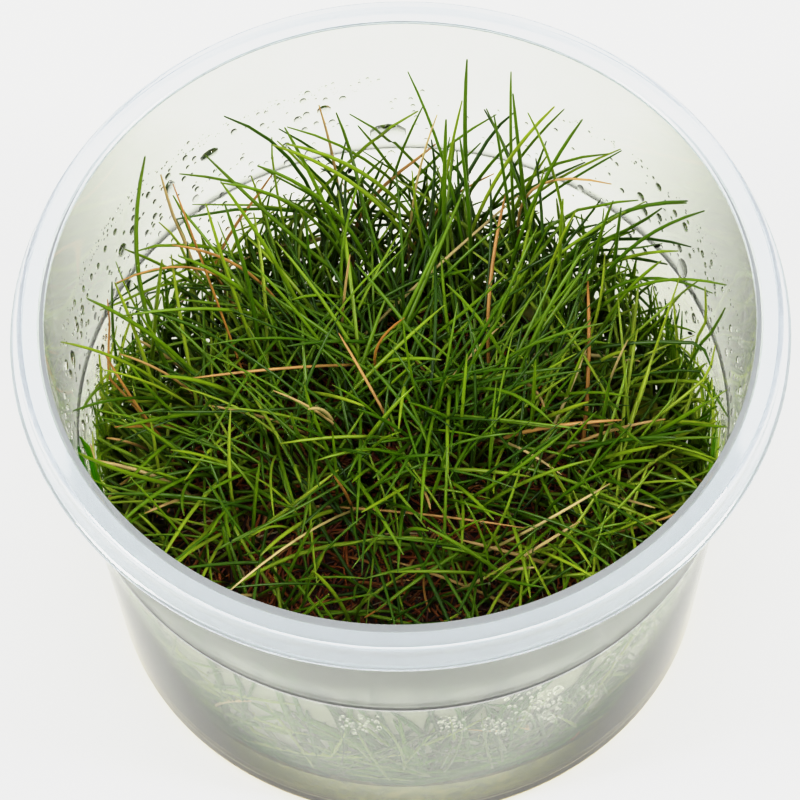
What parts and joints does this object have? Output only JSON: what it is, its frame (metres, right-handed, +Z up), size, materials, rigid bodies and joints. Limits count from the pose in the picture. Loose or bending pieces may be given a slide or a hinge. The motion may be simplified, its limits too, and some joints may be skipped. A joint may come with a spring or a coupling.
{
  "type": "dwarf hairgrass in a culture cup",
  "caption": "Clump of dwarf hairgrass with fine round stems, growing on clear gel in a round translucent plastic culture cup without its lid.",
  "frame": {"origin": "on the standing surface, under the middle of the round cup", "axes": "+Z up along the cup's axis, -Y towards the viewer of the picture"},
  "size_m": [0.1, 0.1, 0.064],
  "materials": {
    "clear_plastic": "translucent moulded polypropylene, glossy, slightly hazy",
    "nutrient_gel": "clear soft gel, wet, yellowish green",
    "root_tangle": "fibrous brown roots and old stem bases, damp",
    "green_stem": "fresh smooth plant stem, satin, slightly translucent"
  },
  "bodies": {
    "root": {"cup": "clear_plastic", "nutrient_gel": "nutrient_gel", "root_mat": "root_tangle", "tuft_01": "green_stem", "tuft_02": "green_stem", "tuft_03": "green_stem", "tuft_04": "green_stem", "tuft_05": "green_stem", "tuft_06": "green_stem", "tuft_07": "green_stem", "tuft_08": "green_stem", "tuft_09": "green_stem", "tuft_10": "green_stem", "tuft_11": "green_stem", "tuft_12": "green_stem", "tuft_13": "green_stem", "tuft_14": "green_stem", "tuft_15": "green_stem", "tuft_16": "green_stem", "tuft_17": "green_stem", "tuft_18": "green_stem", "tuft_19": "green_stem", "tuft_20": "green_stem", "tuft_21": "green_stem", "tuft_22": "green_stem", "tuft_23": "green_stem", "tuft_24": "green_stem", "tuft_25": "green_stem", "tuft_26": "green_stem", "tuft_27": "green_stem", "tuft_28": "green_stem", "tuft_29": "green_stem", "tuft_30": "green_stem", "tuft_31": "green_stem", "tuft_32": "green_stem", "tuft_33": "green_stem", "tuft_34": "green_stem", "tuft_35": "green_stem", "tuft_36": "green_stem", "tuft_37": "green_stem"}
  },
  "joints": []
}
